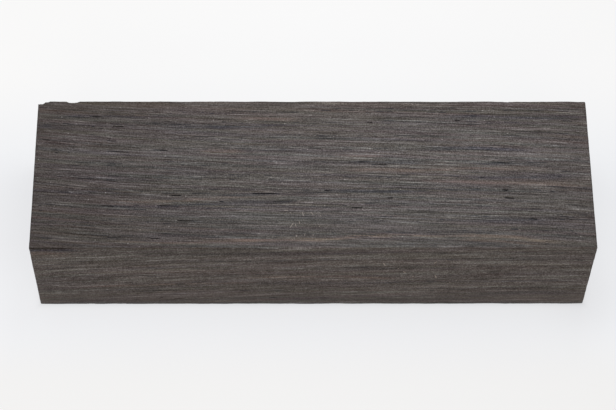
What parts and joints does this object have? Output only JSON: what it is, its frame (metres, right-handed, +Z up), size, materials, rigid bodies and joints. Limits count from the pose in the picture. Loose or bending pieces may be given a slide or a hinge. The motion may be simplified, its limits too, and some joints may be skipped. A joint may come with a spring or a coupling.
{
  "type": "stabilized black oak block",
  "caption": "Squared block of dark resin-stabilized bog oak, a blank to saw or turn into handles and small work.",
  "frame": {"origin": "middle of the face the block rests on", "axes": "+X along the grain and the length, +Y from the face nearest the picture's camera to the far one, +Z up through the thickness"},
  "size_m": [0.131, 0.04, 0.0284],
  "materials": {
    "black_oak": "satin"
  },
  "bodies": {
    "root": {"oak_block": "black_oak"}
  },
  "joints": []
}
